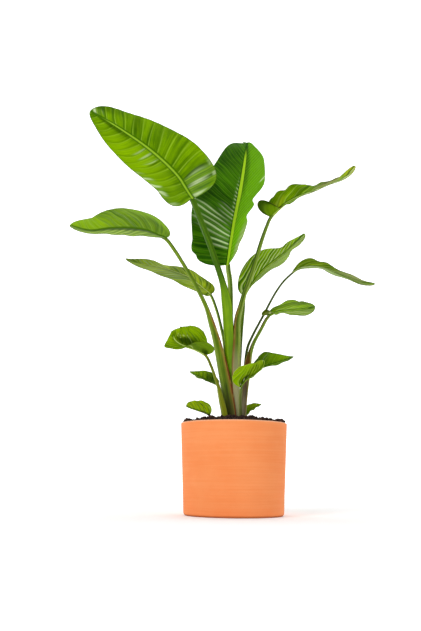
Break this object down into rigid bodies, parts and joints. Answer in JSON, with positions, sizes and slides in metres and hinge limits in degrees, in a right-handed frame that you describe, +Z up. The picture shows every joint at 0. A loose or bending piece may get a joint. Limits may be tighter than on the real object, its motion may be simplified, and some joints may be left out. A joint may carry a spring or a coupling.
{
  "type": "potted bird of paradise",
  "caption": "Bird of paradise plant with long-stalked paddle leaves fanning out from sheathed stems, standing in soil in a plain terracotta cylinder planter.",
  "frame": {"origin": "centre of the pot's flat base, on the surface that the pot stands on", "axes": "+Z up along the pot's axis, -Y towards the side that the leaves face in the picture, +X to the right as seen from there"},
  "size_m": [0.7633, 0.25, 0.9894],
  "materials": {
    "terracotta": "matte",
    "soil": "matte",
    "leaf_dark": "satin",
    "leaf_bright": "satin",
    "leaf_young": "satin",
    "stalk": "satin"
  },
  "bodies": {
    "root": {"pot": "terracotta", "soil": "soil", "blade_upper_left": "leaf_bright", "stalk_upper_left": "stalk", "blade_upper_middle": "leaf_dark", "stalk_upper_middle": "stalk", "blade_middle_left": "leaf_young", "stalk_middle_left": "stalk", "blade_lower_left": "leaf_young", "stalk_lower_left": "stalk", "blade_upper_right": "leaf_bright", "stalk_upper_right": "stalk", "blade_middle_right": "leaf_young", "stalk_middle_right": "stalk", "blade_far_right": "leaf_young", "stalk_far_right": "stalk", "blade_lower_right": "leaf_bright", "stalk_lower_right": "stalk", "blade_low_left": "leaf_bright", "stalk_low_left": "stalk", "blade_small_left": "leaf_dark", "stalk_small_left": "stalk", "blade_small_front": "leaf_young", "stalk_small_front": "stalk", "blade_small_right": "leaf_dark", "stalk_small_right": "stalk", "blade_seedling_left": "leaf_young", "stalk_seedling_left": "stalk", "blade_seedling_right": "leaf_young", "stalk_seedling_right": "stalk"}
  },
  "joints": []
}
